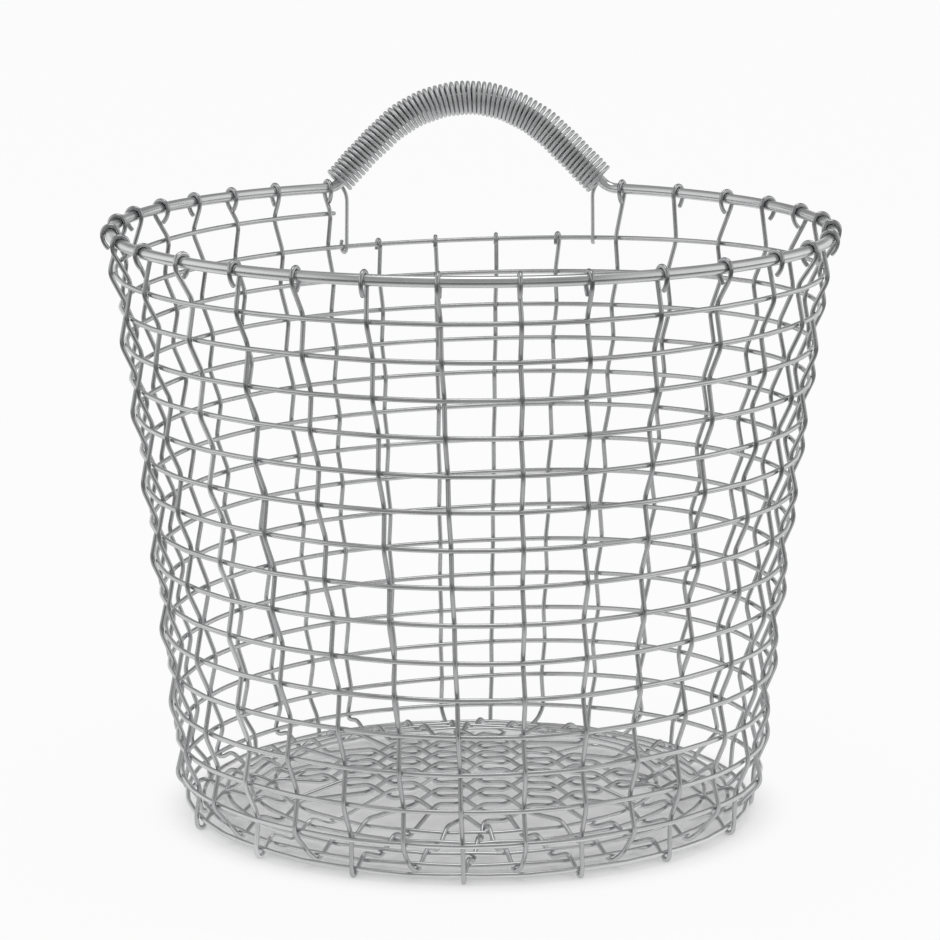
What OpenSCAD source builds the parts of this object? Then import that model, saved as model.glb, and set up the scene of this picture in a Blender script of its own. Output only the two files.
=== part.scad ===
// Round basket woven from steel wire, with one arched handle at the back.
// Millimetres, +Z up. The origin is on the floor under the middle of the base,
// the handle is at +Y and the front is at -Y.
// Places round the basket are azimuths: 0 at the back, growing towards -X.

/* [Wires] */
// Diameter of the rim rod, which also rises into the handle's arch
rod_d = 5.6; // [4.6:0.1:6.2]
// Diameter of the wire that spirals round the base and the wall
weft_d = 2.5; // [2:0.1:2.8]
// Diameter of the upright wires, which cross under the base
warp_d = 2.3; // [1.8:0.1:2.6]
// Diameter of the wire wound round the handle
coil_wire_d = 1.7; // [1.3:0.1:1.9]

/* [Rim and wall] */
// Radius of the rim rod's centre line
rim_r = 180; // [174:1:186]
// Height of the rim rod's centre line above the floor
rim_z = 297.2; // [288:0.2:306]
// How far outside the base's corner the wall's slope would reach the floor
wall_flare = 3.8; // [2:0.2:6]
// How far the wall is drawn in from a straight slope at half height
wall_waist = 2.2; // [0:0.2:4]
// How far the spiral's upper cut end is below the rim rod's centre line
spiral_drop = 13.6; // [12:0.2:15]
// Height at which the spiral leaves the wall's slope for the corner
heel_z = 25.8; // [25:0.2:28]
// How far the spiral stands above even spacing at half height
spiral_bulge = 1.8; // [0:0.2:3]
// How far the spiral stands above even spacing in front
front_rise = 2.8; // [0:0.2:4]
// How far each turn is tilted up on the right and down on the left
row_tilt = 3.8; // [0:0.2:5]

/* [Base] */
// Radius at which the wall's foot turns into the base
corner_r = 142.4; // [140:0.2:144]
// Free height between the corner's wire and the foot loops under it
corner_clear = 1.2; // [0.8:0.1:1.6]
// Height that the base is pressed up in the middle
dome_h = 12.4; // [8:0.2:16]
// Step inwards of the spiral in each round of the base
base_pitch = 12.2; // [11.6:0.1:12.6]
// Room between the spiral's innermost turn and the outermost crossing of the grid
grid_clear = 3.9; // [3:0.1:6]
// Radius of the bend from the crossed wires into the spiral
spiral_bend_r = 6; // [5:0.5:7]

/* [Handle] */
// Half the width of the arch at the rim
arch_half_w = 74; // [72:0.5:76]
// Radius of the arch's round top
arch_crown_r = 61.5; // [56:0.5:66]
// Length along the rod taken by half of the bend from the rim into the arch
arch_bend = 4.5; // [4:0.5:6]
// Radius from the middle of the winding to its wire's centre line
coil_r = 8.1; // [7:0.1:8.3]
// Distance from the arch's corner to the first turn of the winding
coil_start = 3.2; // [3:0.2:6]

/* [Hidden] */
$fn = 64;

// Counts. There are 33 upright ends, an odd number, so that one spiral wire
// can pass each of them on the other side in the next round.
ENDS = 33;
RIM_ENDS = 29;
WALL_TURNS = 16;
TURNS = 20;
ACROSS = 9;
DOWN = 8;
MIDDLE = 4;
SIDES = 6;
COIL_TURNS = 65.5;
COIL_RINGS = 8;

// Angles
first_end_az = 24.5;
spiral_az = 24.6;
foot_twist = 1.1;
arch_slope = 46;
arch_lean = 13;
leg_az = 21.8;
middle_az = 315;
// Waves in the spacing of the uprights at the rim and at the foot. Each is its
// count round the basket, its height in degrees and its crest's place.
RIM_WAVES = [[1, 4.2, -59], [2, 0.8, -13], [3, 1.2, 52]];
FOOT_WAVES = [[1, 2.2, -79], [2, 1.6, -22], [3, 0.9, 22]];

// Clearances between wires
weave_gap = 0.15;
grid_gap = 0.2;
// How far the ball in a joint between two stretches of one wire stands out
joint_swell = 0.03;

// Hooks: drop of the cut end below the rod or wire, and its step to the side
rim_hook_drop = 7.6;
rim_hook_step = 2.6;
short_hook_drop = 3.4;
short_hook_step = 1;
leg_hook_drop = 4.2;
leg_hook_step = 1.4;

// Foot loops: points as shares of the room between two crossing wires
foot_out_share = 0.85;
foot_fall_share = 0.72;
foot_flat_share = 0.38;
// Hooks: points as shares of the hook's radius and drop
hook_tail_share = 0.3;
hook_bend_share = 0.5;
hook_neck_share = 0.85;
// The base falls towards the corner with this power of the radius
dome_power_share = 2.2;
// Middle of a curve through three points
half_share = 0.5;

steel = [0.66, 0.67, 0.68];
bright = [0.74, 0.75, 0.76];
dull = [0.55, 0.56, 0.58];

function unit(v) = v / norm(v);
function is_even(n) = n % 2 == 0;
function backwards(list) = [for (i = [len(list) - 1:-1:0]) list[i]];
function polar(az, r, z) = [-r * sin(az), r * cos(az), z];
function outwards(az) = [-sin(az), cos(az), 0];
function sideways(az) = [-cos(az), -sin(az), 0];
function azimuth_of(p) = (atan2(-p.x, p.y) + 360) % 360;

// A tube with flat sides has the section area of the round wire. Its faces lie
// this far from the centre line.
function corner_radius(d) = d / 2 * sqrt(2 * PI / SIDES / sin(360 / SIDES));
function face_radius(d) = corner_radius(d) * cos(180 / SIDES);

wall_foot_r = corner_r + wall_flare;
foot_z = face_radius(warp_d);
corner_z = 2 * foot_z + weft_d / 2 + corner_clear;

// The wall and the base as surfaces through the spiral's centre line
function wall_r(z) =
    let (t = z / rim_z)
    wall_foot_r + (rim_r - wall_foot_r) * t - 4 * wall_waist * t * (1 - t);
function base_z(r) = corner_z + dome_h * (1 - pow(min(r / corner_r, 1), dome_power_share));

// The spiral is made of half turns. Half turn h runs from place h to place h + 1.
HEEL = 2 * WALL_TURNS - 4;
CORNER = 2 * WALL_TURNS - 1;
spiral_z = rim_z - spiral_drop;
half_pitch = (spiral_z - heel_z) / HEEL;

function even_z(h) =
    h <= HEEL ? spiral_z - h * half_pitch + spiral_bulge * sin(180 * h / HEEL) :
    h <= CORNER ? heel_z - (heel_z - corner_z) * (h - HEEL) / (CORNER - HEEL) :
    base_z(place_r(h));
function place_z(h) = even_z(h) + (h < CORNER && !is_even(h) ? front_rise : 0);
function place_r(h) =
    h < CORNER ? wall_r(place_z(h)) :
    h == CORNER ? corner_r :
    corner_r - (h - CORNER - half_share) * base_pitch / 2;

// Height of a half turn's middle over the line between its ends. It is as much
// for two half turns that meet at the back, so that they meet square, and it
// fades out over the last two turns of the wall.
function arc_tilt(h) =
    row_tilt * max(0, min(1, (WALL_TURNS - floor((h + 1) / 2)) / 2)) * (is_even(h) ? -1 : 1);

// Each half turn is an arc round a point between its two ends. This is the arc's
// own angle at an azimuth p from its start.
function arc_angle(h, p) = p + asin(sin(p) * (place_r(h) - place_r(h + 1)) / (place_r(h) + place_r(h + 1)));

// Radius and height of the spiral's centre line at an azimuth
function spiral_at(turn, az) =
    let (
        phi = (az - spiral_az + 720) % 360,
        second = phi >= 180,
        h = 2 * turn - 2 + (second ? 1 : 0),
        p = second ? phi - 180 : phi,
        m = (place_r(h) + place_r(h + 1)) / 2,
        c = (place_r(h) - place_r(h + 1)) / 2,
        arc = arc_angle(h, p),
        fall = (place_z(h) - place_z(h + 1)) / 2
    )
    [
        c * cos(p) + sqrt(m * m - pow(c * sin(p), 2)),
        place_z(h) - fall * (1 - cos(arc)) + arc_tilt(h) * sin(arc)
    ];

// The spiral's inner end, where the wire that crosses the base turns into it
inner_r = spiral_at(TURNS, middle_az)[0];
bend_centre_r = inner_r - spiral_bend_r;
bend_az = middle_az - asin(spiral_bend_r / bend_centre_r);
inner_az = bend_az - weft_d / inner_r * 180 / PI;

// Azimuths of the upright ends: evenly spaced slots, from which the ends stray in
// waves, and a little differently at the rim and at the foot
function slot_az(k) = first_end_az + (k - 1) * 360 / ENDS;
function waves(list, az) = [for (w = list) w[1] * cos(w[0] * az - w[2])] * [for (w = list) 1];
function end_az(k, z) =
    let (slot = slot_az(k), up = z / rim_z)
    slot + up * waves(RIM_WAVES, slot) + (1 - up) * (foot_twist + waves(FOOT_WAVES, slot));
// The uprights pass outside the wall, or under the base, where this is true
function passes_out(k, turn) = is_even(k + ENDS * (turn - 1));

// Distance between the centre lines of two crossing wires. The upright slopes
// from one side of a spiral wire to the other side of the next.
cross_room = weft_d / 2 + warp_d / 2;
function cross_offset(spacing) = cross_room * sqrt(1 + pow(2 * cross_room / spacing, 2)) + weave_gap;

// The crossed wires in the middle of the base. Wire i of the first family runs
// from front left to back right, and wire j of the second across it. The grid
// fills the room inside the spiral.
grid_pitch = (place_r(2 * TURNS) - grid_clear) / norm([ACROSS - 1, DOWN - 1]) * 2;
function grid_xy(i, j) =
    let (
        u = (i - (ACROSS - 1) / 2) * grid_pitch,
        v = (j - (DOWN - 1) / 2) * grid_pitch
    )
    [(u + v) / sqrt(2), (v - u) / sqrt(2)];
function first_above(i, j) = is_even(i + j);
grid_offset = warp_d / 2 * sqrt(1 + pow(warp_d / grid_pitch, 2)) + grid_gap / 2;
function grid_point(i, j, above) =
    let (p = grid_xy(i, j))
    [p.x, p.y, base_z(norm(p)) + (above ? grid_offset : -grid_offset)];

// Upright ends at which the crossed wires come out
function front_left(i) = 7 + i;
function back_right(i) = i < MIDDLE ? 31 - i : 32 - i;
function back_left(j) = j < 6 ? 6 - j : 39 - j;
function front_right(j) = 16 + j;

// An upright end fans out over the base from the outermost grid crossing q
function last_turn(k) = k <= 27 ? TURNS : TURNS - 1;
function fan_az(k, turn, q) =
    let (
        foot = end_az(k, corner_z),
        start = azimuth_of(q),
        swing = (foot - start + 540) % 360 - 180
    )
    start + swing * (spiral_at(turn, foot)[0] - norm(q)) / (corner_r - norm(q));
function crossing_az(k, turn, q) =
    turn <= WALL_TURNS ? end_az(k, spiral_at(turn, slot_az(k))[1]) : fan_az(k, turn, q);
function crossed(k, turn, q) = spiral_at(turn, crossing_az(k, turn, q));

// Foot loops pass under the corner, which is one round later on the left
LATE_ENDS = 8;
function is_foot(k, turn) = passes_out(k, turn) && turn == (k <= LATE_ENDS ? WALL_TURNS + 1 : WALL_TURNS);
function is_loop(k, turn) = passes_out(k, turn) && (turn == WALL_TURNS || is_foot(k, turn));
function loop_low(k, turn, w) =
    is_foot(k, turn) ? face_radius(k == front_left(MIDDLE) ? weft_d : warp_d) : w[1] - cross_room - weave_gap;
function after_loop(k, turn, w) = [w[0] - foot_flat_share * cross_room, loop_low(k, turn, w)];

// Points of an upright at one crossing, each as radius, height and azimuth
function crossing(k, turn, q) =
    let (
        az = crossing_az(k, turn, q),
        w = crossed(k, turn, q),
        inner = [norm(q), base_z(norm(q))],
        above = turn > 1 ? crossed(k, turn - 1, q) : [rim_r, rim_z],
        before = turn > 1 && is_loop(k, turn - 1) ? after_loop(k, turn - 1, above) : above,
        after = turn < last_turn(k) ? crossed(k, turn + 1, q) : inner,
        run = unit(after - before),
        off = cross_offset(min(norm(after - w), norm(w - before))),
        side = passes_out(k, turn) ? off : -off,
        low = loop_low(k, turn, w)
    )
    is_loop(k, turn) ?
        [
            [w[0] + off, w[1], az],
            [w[0] + foot_out_share * off, w[1] + (low - w[1]) * foot_fall_share, az],
            [w[0] + foot_flat_share * off, low, az],
            concat(after_loop(k, turn, w), az)
        ] :
        [[w[0] - side * run[1], w[1] + side * run[0], az]];

// Points of a hook over a rod or wire at radius r and height z, from its cut
// end. side is 1 where the upright rises outside the rod, and -1 inside.
function hook(az, r, z, reach, side, drop, aside) =
    let (step = aside / r * 180 / PI)
    concat(
        [
            [r - side * reach * hook_tail_share, z - drop, az + step],
            [r - side * reach, z - drop * hook_bend_share, az + step]
        ],
        [
            for (t = [0:45:180])
                [r - side * reach * cos(t), z + reach * sin(t), az + step * (1 - t / 180)]
        ],
        [[r + side * reach * hook_neck_share, z - reach, az]]
    );

// An upright end, from its hook to its last crossing before the grid
function upright(k, q, d) =
    let (
        on_rim = k <= RIM_ENDS,
        top = on_rim ? [rim_r, rim_z] : crossed(k, 1, q),
        reach = (on_rim ? rod_d : weft_d) / 2 + d / 2 + weave_gap,
        // a rim hook's shank passes the rod on the other side than the spiral
        side = passes_out(k, 1) == on_rim ? -1 : 1
    )
    concat(
        hook(
            end_az(k, top[1]), top[0], top[1], reach, side,
            on_rim ? rim_hook_drop : short_hook_drop,
            on_rim ? rim_hook_step : short_hook_step
        ),
        [for (turn = [on_rim ? 1 : 2:last_turn(k)]) each crossing(k, turn, q)]
    );
function in_space(list) = [for (p = list) polar(p[2], p[0], p[1])];

// Level directions square to a wire: round the basket on the wall, and square
// to the wire's own heading on the base. The first count points head inwards.
function level_sides(points, count) =
    [
        for (i = [0:len(points) - 1])
            let (
                p = points[i],
                ahead = points[min(i + 1, len(points) - 1)] - points[max(i - 1, 0)],
                on_wall = norm([p.x, p.y]) > corner_r - base_pitch,
                heading = on_wall ? outwards(azimuth_of(p)) * (i < count ? -1 : 1) : unit([ahead.x, ahead.y, 0])
            )
            cross([0, 0, 1], heading)
    ];

// A tube along points. Each ring stands in the mitre between its two runs.
module tube(points, sides, d) {
    last = len(points) - 1;
    vertices = [
        for (i = [0:last])
            let (
                run_in = unit(points[max(i, 1)] - points[max(i, 1) - 1]),
                run_out = unit(points[min(i, last - 1) + 1] - points[min(i, last - 1)]),
                tangent = unit(run_in + run_out),
                side = unit(sides[i] - (sides[i] * tangent) * tangent),
                normal = cross(side, tangent),
                mitre = max(run_in * tangent, cos(40))
            )
            for (m = [0:SIDES - 1])
                let (a = (m + half_share) * 360 / SIDES)
                points[i] + corner_radius(d) * (sin(a) * side + cos(a) / mitre * normal)
    ];
    walls = [
        for (i = [0:last - 1], m = [0:SIDES - 1])
            let (a = i * SIDES + m, b = i * SIDES + (m + 1) % SIDES)
            each [[a, b, b + SIDES], [a, b + SIDES, a + SIDES]]
    ];
    caps = [
        for (m = [1:SIDES - 2])
            each [[0, m + 1, m], [last * SIDES, last * SIDES + m, last * SIDES + m + 1]]
    ];
    polyhedron(vertices, concat(walls, caps));
}

// Wire i of the first family, whole
module across_wire(i) {
    start = in_space(upright(front_left(i), grid_xy(i, 0), warp_d));
    grid = [for (j = [0:DOWN - 1]) grid_point(i, j, first_above(i, j))];
    finish = in_space(upright(back_right(i), grid_xy(i, DOWN - 1), warp_d));
    points = concat(start, grid, backwards(finish));
    color(steel) tube(points, level_sides(points, len(start)), warp_d);
}

// Wire j of the second family, whole
module down_wire(j) {
    start = in_space(upright(back_left(j), grid_xy(0, j), warp_d));
    grid = [for (i = [0:ACROSS - 1]) grid_point(i, j, !first_above(i, j))];
    finish = in_space(upright(front_right(j), grid_xy(ACROSS - 1, j), warp_d));
    points = concat(start, grid, backwards(finish));
    color(steel) tube(points, level_sides(points, len(start)), warp_d);
}

// The odd upright crosses the base once, bends and becomes the spiral
module weft_start() {
    start = in_space(upright(front_left(MIDDLE), grid_xy(MIDDLE, 0), weft_d));
    grid = [for (j = [0:DOWN - 1]) grid_point(MIDDLE, j, first_above(MIDDLE, j))];
    bend = [
        for (t = [0:0.25:1])
            let (
                centre = polar(bend_az, bend_centre_r, 0),
                p = centre + spiral_bend_r * outwards(middle_az + 90 - (middle_az + 90 - bend_az) * t)
            )
            [p.x, p.y, base_z(norm(p))]
    ];
    inner = spiral_at(TURNS, inner_az);
    points = concat(start, grid, bend, [polar(inner_az, inner[0], inner[1])]);
    color(steel) tube(points, level_sides(points, len(start)), weft_d);
}

// Puts a shape's X axis and XY plane on two directions at a point
module put(at, x, towards) {
    z = unit(cross(x, towards));
    y = cross(z, x);
    multmatrix([[x.x, y.x, z.x, at.x], [x.y, y.y, z.y, at.y], [x.z, y.z, z.z, at.z]])
        children();
}

// Half a turn of the spiral: an arc in a tilted plane. Each arc meets the next
// square to one plane, so the wire runs on without a kink.
module half_turn(h, angle) {
    az = spiral_az + 180 * (h % 2);
    begin = polar(az, place_r(h), place_z(h));
    end = polar(az + 180, place_r(h + 1), place_z(h + 1));
    radius = norm(begin - end) / 2;
    put((begin + end) / 2, unit(begin - end), sideways(az) + [0, 0, arc_tilt(h) / radius])
        rotate_extrude(angle = angle)
            translate([radius, 0])
                circle(d = weft_d);
}

// A ball that joins two stretches of one wire. Its poles lie on the wire's line.
module joint_ball(at, way, d) {
    put(at, way, abs(way.z) < half_share ? [0, 0, 1] : [0, 1, 0])
        rotate([0, 90, 0])
            sphere(d = d + 2 * joint_swell);
}

module weft_turn(turn) {
    h = 2 * turn - 2;
    color(steel) union() {
        half_turn(h, 180);
        joint_ball(polar(spiral_az + 180, place_r(h + 1), place_z(h + 1)), sideways(spiral_az), weft_d);
        half_turn(h + 1, turn < TURNS ? 180 : arc_angle(h + 1, inner_az - spiral_az - 180));
    }
}

// The handle's arch stands in a plane that leans back. Its points are given as
// x and the rise along the lean.
rim_end_az = asin(arch_half_w / norm([rim_r, arch_bend])) + atan(arch_bend / rim_r);
rim_end = polar(rim_end_az, rim_r, rim_z);
arch_y = rim_end.y - arch_bend * sideways(rim_end_az).y;
crown_rise = (arch_half_w * sin(arch_slope) - arch_crown_r) / cos(arch_slope);

function arch_point(x, rise) = [x, arch_y + rise * sin(arch_lean), rim_z + rise * cos(arch_lean)];
function arch_way(x, rise) = [x, rise * sin(arch_lean), rise * cos(arch_lean)];
arch_back = [0, cos(arch_lean), -sin(arch_lean)];
crown_centre = arch_point(0, crown_rise);

module rod(from, to, d) {
    way = unit(to - from);
    put(from, way, abs(way.z) < half_share ? [0, 0, 1] : [0, 1, 0])
        rotate([0, 90, 0])
            cylinder(h = norm(to - from), d = d);
}

// A bend from one point to another round a centre that is as far from both
module bend(centre, from, to, d) {
    a = unit(from - centre);
    b = unit(to - centre);
    put(centre, a, b)
        rotate_extrude(angle = acos(a * b))
            translate([norm(from - centre), 0])
                circle(d = d);
}

// Points of the arch on one side. s is -1 on the left and 1 on the right.
function ring_end(s) = polar(-s * rim_end_az, rim_r, rim_z);
function arch_corner(s) = arch_point(s * arch_half_w, 0);
function flank_way(s) = arch_way(-s * cos(arch_slope), sin(arch_slope));
function flank_low(s) = arch_corner(s) + arch_bend * flank_way(s);
function flank_high(s) = crown_centre + arch_crown_r * arch_way(s * sin(arch_slope), cos(arch_slope));

// The bend from the rim into the arch
module arch_foot(s) {
    inwards = unit(unit(ring_end(s) - arch_corner(s)) + flank_way(s));
    centre = arch_corner(s) + arch_bend / (inwards * flank_way(s)) * inwards;
    bend(centre, ring_end(s), flank_low(s), rod_d);
}

module rim_wire() {
    color(bright) union() {
        translate([0, 0, rim_z])
            rotate([0, 0, 90 + rim_end_az])
                rotate_extrude(angle = 360 - 2 * rim_end_az)
                    translate([rim_r, 0])
                        circle(d = rod_d);
        joint_ball(ring_end(-1), sideways(rim_end_az), rod_d);
        joint_ball(ring_end(1), sideways(-rim_end_az), rod_d);
        arch_foot(-1);
        joint_ball(flank_low(-1), flank_way(-1), rod_d);
        rod(flank_low(-1), flank_high(-1), rod_d);
        joint_ball(flank_high(-1), flank_way(-1), rod_d);
        bend(crown_centre, flank_high(-1), flank_high(1), rod_d);
        joint_ball(flank_high(1), flank_way(1), rod_d);
        rod(flank_high(1), flank_low(1), rod_d);
        joint_ball(flank_low(1), flank_way(1), rod_d);
        arch_foot(1);
    }
}

// The winding's axis follows the arch. Distances along it are measured from the
// middle.
crown_half = arch_crown_r * arch_slope * PI / 180;
coil_half = (arch_half_w - arch_crown_r * sin(arch_slope)) / cos(arch_slope) - coil_start + crown_half;
function axis_angle(s) = max(-arch_slope, min(arch_slope, s / arch_crown_r * 180 / PI));
function axis_up(s) = arch_way(sin(axis_angle(s)), cos(axis_angle(s)));
function axis_run(s) = arch_way(cos(axis_angle(s)), -sin(axis_angle(s)));
function axis_point(s) =
    crown_centre + arch_crown_r * axis_up(s) + (s - axis_angle(s) * PI / 180 * arch_crown_r) * axis_run(s);
function coil_point(s) =
    let (a = -360 * COIL_TURNS * s / coil_half / 2)
    axis_point(s) + coil_r * (cos(a + 90 - 180 * COIL_TURNS) * axis_up(s) + sin(a + 90 - 180 * COIL_TURNS) * arch_back);

// A leg of the winding, from the cut end behind the top row of weave, under
// the row and up its inner side to the winding. s is -1 on the left.
function coil_leg(s) =
    let (
        az = -s * leg_az,
        row = spiral_at(1, az),
        reach = weft_d / 2 + coil_wire_d / 2 + weave_gap,
        step = -s * leg_hook_step / row[0] * 180 / PI,
        tail = polar(az + step, row[0] + reach, row[1] + leg_hook_drop),
        loop = [for (t = [0:45:180]) polar(az + step * (1 - t / 180), row[0] + reach * cos(t), row[1] - reach * sin(t))],
        end = coil_point(s * coil_half),
        way = arch_way(-s * sin(arch_slope), -cos(arch_slope)),
        meet = end + (loop[4].x - end.x) / way.x * way,
        below = meet + unit(loop[4] - meet) * norm(meet - end),
        middle = (end + 2 * meet + below) / 4,
        // the leg stands up straight from the hook for one wire's diameter
        neck = loop[4] + [0, 0, coil_wire_d]
    )
    concat([tail], loop, [neck, below, middle]);

module handle_coil() {
    steps = ceil(COIL_TURNS * COIL_RINGS);
    left = coil_leg(-1);
    right = backwards(coil_leg(1));
    turns = [for (i = [0:steps]) coil_point(coil_half * (2 * i / steps - 1))];
    points = concat(left, turns, right);
    sides = concat(
        [for (p = left) -sideways(leg_az)],
        [for (i = [0:steps]) axis_run(coil_half * (2 * i / steps - 1))],
        [for (p = right) -sideways(-leg_az)]
    );
    least = min([
        for (i = [0:len(points) - 1])
            for (j = [i + COIL_RINGS / 2:1:len(points) - 1])
                norm(points[i] - points[j])
    ]) - 2 * corner_radius(coil_wire_d);
    echo(least_gap_of_winding = least);
    color(bright) tube(points, sides, coil_wire_d);
}

function two_digits(n) = n < 10 ? str("0", n) : str(n);
ACROSS_IDS = [for (i = [0:ACROSS - 1]) if (i != MIDDLE) i];

rim_wire();
handle_coil();
weft_start();
for (i = ACROSS_IDS)
    across_wire(i);
for (j = [0:DOWN - 1])
    down_wire(j);
for (turn = [1:TURNS])
    weft_turn(turn);
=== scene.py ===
"""Round basket of woven steel wire with one wound handle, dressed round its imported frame.

Sizes are millimetres here and become metres when a mesh is made. Places round the basket are
azimuths in degrees: 0 at the back, where the handle is, growing towards -X.
"""

import math

import bpy
import numpy as np
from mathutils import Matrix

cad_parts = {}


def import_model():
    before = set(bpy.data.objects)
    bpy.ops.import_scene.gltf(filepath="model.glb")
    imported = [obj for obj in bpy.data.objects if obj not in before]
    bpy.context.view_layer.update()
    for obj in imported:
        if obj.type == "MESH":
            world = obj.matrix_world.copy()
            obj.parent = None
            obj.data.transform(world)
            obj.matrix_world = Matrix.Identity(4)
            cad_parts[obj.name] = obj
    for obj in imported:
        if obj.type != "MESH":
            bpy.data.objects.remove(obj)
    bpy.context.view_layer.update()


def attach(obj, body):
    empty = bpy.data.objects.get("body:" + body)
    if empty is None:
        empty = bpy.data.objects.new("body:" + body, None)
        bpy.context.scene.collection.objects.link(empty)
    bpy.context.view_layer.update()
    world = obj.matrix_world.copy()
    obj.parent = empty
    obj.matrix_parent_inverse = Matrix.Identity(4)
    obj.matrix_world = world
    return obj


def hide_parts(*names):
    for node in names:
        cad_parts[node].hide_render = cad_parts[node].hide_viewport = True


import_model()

# Millimetres to Blender's metres
MM = 0.001

# Camera: distance in front of the basket's axis, height above the floor, tilt and framing
IMAGE_PX = 940
CAMERA_BACK = 1951.0
CAMERA_UP = 562.2
CAMERA_TILT = 11.25
FOCAL_PX = 3927.5
SHIFT_PX = 1.5
SENSOR_MM = 36.0

# Wires
ROD_D = 5.6
WEFT_D = 2.5
WARP_D = 2.3
COIL_WIRE_D = 2.05

# Rim and wall: the wall's middle lies WALL_WAIST inside a straight line
RIM_R = 180.0
RIM_Z = 297.2
WALL_FOOT_R = 146.2
WALL_WAIST = 2.2

# Rows of the wall: the first one's drop under the rim, the last one's height at the heel, how much
# higher the middle rows lie than evenly spaced ones, how much higher a row lies in front than it
# would on its way down, and how far each half turn is arched over (right) or under (left) its ends
SPIRAL_DROP = 13.6
HEEL_Z = 25.8
SPIRAL_BULGE = 1.8
FRONT_RISE = 2.8
ROW_TILT = 3.8
TILT_FADE_TURNS = 2

# Base: its corner under the wall, its dome, and the pitch of its rounds and of its crossed wires
CORNER_R = 142.4
CORNER_Z = 4.64
DOME_H = 12.4
DOME_POWER = 2.2
BASE_PITCH = 12.2
GRID_PITCH = 16.303
GRID_GAP = 0.06
SPIRAL_BEND_R = 6.0

# Handle: the arch of the rod, and the winding from its left end to its right one along the arch
ARCH_HALF_W = 74.0
ARCH_CROWN_R = 61.5
ARCH_BEND = 4.5
ARCH_SLOPE = 46.0
ARCH_LEAN = 13.0
COIL_R = 8.45
COIL_DEEP_R = 7.8
COIL_SAG = 0.5
COIL_FROM = -88.5
COIL_TO = 86.0
COIL_TURNS = 65
LEFT_LEG_AZ = 22.95
RIGHT_LEG_AZ = -22.25

# Counts: ends of the uprights, numbered from the handle's left side, of which the last four hook on
# the top row; turns of the weaving wire; and lines of the base, of which it takes one itself
ENDS = 33
RIM_ENDS = 29
WALL_TURNS = 16
TURNS = 20
ACROSS = 9
DOWN = 8
MIDDLE = 4

# The end at which each side's first line of the base comes up, the last end that the last turn
# reaches, and the last of the ends that stand on their loop one turn later than the others
FRONT_LEFT_END = 7
BACK_RIGHT_END = 31
BACK_LEFT_END = 6
FRONT_RIGHT_END = 16
LAST_INNER_END = 27
LATE_ENDS = 8

# Azimuths of the first end and of the spiral's start, how far the uprights' feet are turned from
# their hooks, and the azimuth at which the base's middle line meets the spiral's inner end
FIRST_END_AZ = 24.5
SPIRAL_AZ = 24.6
FOOT_TWIST = 1.1
MIDDLE_AZ = 315.0

# Waves in the spacing of the uprights at the rim and at the foot: each is its count round the
# basket, its height in degrees and its crest's place. A few uprights stray further by themselves.
RIM_WAVES = ((1, 4.2, -59.0), (2, 0.8, -13.0), (3, 1.2, 52.0))
FOOT_WAVES = ((1, 2.2, -79.0), (2, 1.6, -22.0), (3, 0.9, 22.0))
RIM_STRAYS = {1: -0.8, 7: -0.8, 9: 0.9, 16: 1.0, 21: -0.7, 22: 0.9, 23: 1.0}
FOOT_STRAYS = {1: 0.7, 4: -0.7, 16: 0.7, 17: 1.1, 19: -1.0, 27: 0.8}

# How the wires lie on each other, and how far one nudges the other aside
TOUCH = 0.03
NUDGE = 0.3
NUDGE_RUN = 6.0

# Slow wandering of the weaving wire: how far, how much less on the base, and its waves, each as its
# count in a turn, its share and its start
WANDER_R = 0.25
WANDER_Z = 0.45
BASE_STILL = 0.7
WANDER_R_WAVES = ((1.37, 1.0, 40.0), (3.71, 0.6, 200.0))
WANDER_Z_WAVES = ((0.83, 1.0, 310.0), (2.39, 0.7, 90.0), (5.13, 0.4, 0.0))

# Rises of the rows: azimuth, half width in degrees, height, and the turns over which it grows
ROW_RISES = ((140.0, 38.0, 2.2, 0.0, 0.5), (322.0, 32.0, 2.4, 3.0, 8.0))

# Hooks: drop of the cut end and its step to the side, and the tail from the cut end up, as shares
# of the hook's radius and of the drop. The neck below the hook's other side is the same for all.
HOOK_STEPS = 12
RIM_HOOK_DROP = 7.6
RIM_HOOK_STEP = 0.5
RIM_HOOK_TAIL = ((0.2, 1.0), (0.58, 0.79), (0.87, 0.5), (1.0, 0.2))
SHORT_HOOK_DROP = 3.3
SHORT_HOOK_STEP = 0.7
SHORT_HOOK_TAIL = ((0.95, 1.0), (1.0, 0.5))
HOOK_NECK = ((0.97, 0.5), (0.85, 1.1))

# Legs of the winding: rise of the left one's cut end, step to the side, depth of its loop under the
# top row, its tail as shares of step, radius and rise, and the depth and start of the right one's
LEG_HOOK_RISE = 3.4
LEG_HOOK_STEP = 1.3
LEG_LOOP_DEPTH = 3.1
LEG_HOOK_TAIL = ((0.9, 0.8, 1.0), (1.0, 1.0, 0.4))
SHORT_LEG_DEPTH = 1.15
SHORT_LEG_FROM = 5
LEG_STEPS = 8

# Loops under the foot of the wall: the corner over the row, out and up from it; the corner beside
# it, as shares of the room between the wires and of the fall to the low run; the low run's two ends
# and the place it is left from, as shares of the room; and how far under its row a loop hangs that
# isn't a foot
LOOP_TOP_OUT = 0.35
LOOP_TOP_UP = 0.6
LOOP_BEND_OUT = 0.92
LOOP_BEND_FALL = 0.72
LOOP_OUTER = 0.42
LOOP_INNER = 0.45
LOOP_LEAVES = 0.38
LOOP_CLEAR = 0.3

# Roundness of kinks: length of wire taken on each side, the most of the way to the next kink that
# it may be, and steps in a curve
KINK = 4.0
KINK_SHARE = 0.45
ROUND_SHARE = 0.48
KINK_STEPS = 5
STEP_DEGREES = 6

# Wires of the base press a little closer than their kinks alone would let them
GRID_PRESS = 0.94

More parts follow.
